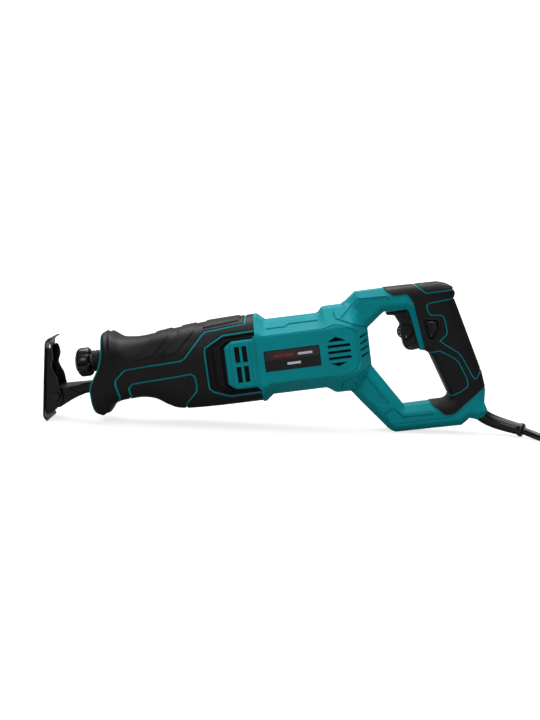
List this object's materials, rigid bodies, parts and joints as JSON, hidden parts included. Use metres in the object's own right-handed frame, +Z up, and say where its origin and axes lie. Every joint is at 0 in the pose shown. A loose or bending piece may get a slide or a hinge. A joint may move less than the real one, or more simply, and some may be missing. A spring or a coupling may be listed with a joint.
{
  "type": "corded reciprocating saw",
  "caption": "Corded reciprocating saw with D-shaped handle, rubber nose boot, keyless blade clamp, tilting shoe, trigger with speed dial, lock button and coiled mains cord.",
  "frame": {"origin": "on the bench under the middle of the tool, cord apart: centre of its length and width, lowest point", "axes": "+X from the shoe towards the handle, +Y across the tool to its right-hand side, +Z up; the tool stands nose-down on its shoe and heel, its motor axis tilted 9.4 degrees about Y"},
  "size_m": [0.6832, 0.1213, 0.1614],
  "materials": {
    "teal_plastic": "moulded teal nylon, fine satin texture",
    "black_rubber": "soft overmoulded grip rubber, fine grain",
    "black_plastic": "black moulded nylon",
    "black_steel": "black oxide and oil on pressed steel",
    "bright_steel": "ground and turned steel",
    "cast_alloy": "die-cast light alloy",
    "core_steel": "laminated electrical steel",
    "copper": "enamelled copper wire",
    "carbon": "pressed carbon",
    "brass": "drawn brass and copper bars",
    "bronze": "oil-filled sintered bronze",
    "white_plastic": "white nylon and film capacitor case",
    "cord_rubber": "black rubber-sheathed mains cord and moulded plug"
  },
  "bodies": {
    "housing": {"housing_left": "teal_plastic", "housing_right": "teal_plastic", "grip_left": "black_rubber", "grip_right": "black_rubber", "gear_case": "cast_alloy", "bearing_plate": "cast_alloy", "nose_sleeve": "teal_plastic", "nose_boot": "black_rubber", "front_nozzle": "black_plastic", "front_bush": "bronze", "rear_bush": "bronze", "plunger_seal": "black_rubber", "stator_core": "core_steel", "field_coil_upper": "copper", "field_coil_lower": "copper", "brush_holder_left": "brass", "brush_holder_right": "brass", "carbon_brush_left": "carbon", "carbon_brush_right": "carbon", "front_bearing": "bright_steel", "rear_bearing": "bright_steel", "crank_bearing": "bright_steel", "switch_body": "black_plastic", "interference_capacitor": "white_plastic", "cord_clamp": "white_plastic", "cable_guard": "black_rubber", "cord": "cord_rubber", "cord_coil": "cord_rubber", "cord_tail": "cord_rubber", "plug": "cord_rubber", "housing_screw_1": "bright_steel", "housing_screw_2": "bright_steel", "housing_screw_3": "bright_steel", "housing_screw_4": "bright_steel", "case_screw_1": "bright_steel", "case_screw_2": "bright_steel", "case_screw_3": "bright_steel", "case_screw_4": "bright_steel"},
    "armature": {"armature_shaft": "bright_steel", "armature_core": "core_steel", "armature_winding_front": "copper", "armature_winding_rear": "copper", "commutator": "brass", "cooling_fan": "black_plastic", "bevel_pinion": "bright_steel"},
    "crank": {"crank_gear": "bright_steel", "crank_shaft": "bright_steel", "crank_pin": "bright_steel"},
    "plunger": {"plunger": "bright_steel", "plunger_yoke": "bright_steel", "slider_block": "bronze", "clamp_body": "bright_steel", "clamp_cap": "cast_alloy"},
    "clamp_collar": {"clamp_collar": "black_plastic"},
    "shoe_arm": {"shoe_arm": "black_steel", "shoe_pin": "black_steel"},
    "shoe": {"shoe": "black_steel"},
    "trigger": {"trigger": "black_plastic"},
    "speed_dial": {"speed_dial": "black_plastic"},
    "lock_button": {"lock_button": "black_plastic"}
  },
  "joints": [
    {"name": "armature_spin", "type": "hinge", "parent": "housing", "child": "armature", "pos_m": [-0.01035, 0, 0.07437], "axis": [0.9867, 0, 0.1628], "continuous": true},
    {"name": "crank_spin", "type": "hinge", "parent": "housing", "child": "crank", "pos_m": [-0.07745, 0, 0.06331], "axis": [-0.1628, 0, 0.9867], "continuous": true},
    {"name": "plunger_slide", "type": "slide", "parent": "housing", "child": "plunger", "axis": [-0.9867, 0, -0.1628], "range_m": [0, 0.026]},
    {"name": "clamp_collar_turn", "type": "hinge", "parent": "plunger", "child": "clamp_collar", "pos_m": [-0.19567, 0, 0.06204], "axis": [-0.9867, 0, -0.1628], "range_deg": [0, 55], "stiffness_Nm_per_rad": 0.4},
    {"name": "shoe_extend", "type": "slide", "parent": "housing", "child": "shoe_arm", "axis": [-0.9867, 0, -0.1628], "range_m": [0, 0.02]},
    {"name": "shoe_tilt", "type": "hinge", "parent": "shoe_arm", "child": "shoe", "pos_m": [-0.22251, 0, 0.02721], "axis": [0, 1, 0], "range_deg": [-12, 25]},
    {"name": "trigger_squeeze", "type": "slide", "parent": "housing", "child": "trigger", "axis": [0.9867, 0, 0.1628], "range_m": [0, 0.006], "stiffness_N_per_m": 900},
    {"name": "speed_dial_turn", "type": "hinge", "parent": "trigger", "child": "speed_dial", "pos_m": [0.14407, 0, 0.10776], "axis": [0, 1, 0], "range_deg": [0, 270]},
    {"name": "lock_button_press", "type": "slide", "parent": "housing", "child": "lock_button", "axis": [0, 1, 0], "range_m": [0, 0.003], "stiffness_N_per_m": 900}
  ],
  "couplings": [
    {"joint": "crank_spin", "follows": "armature_spin", "ratio": 0.2381}
  ]
}
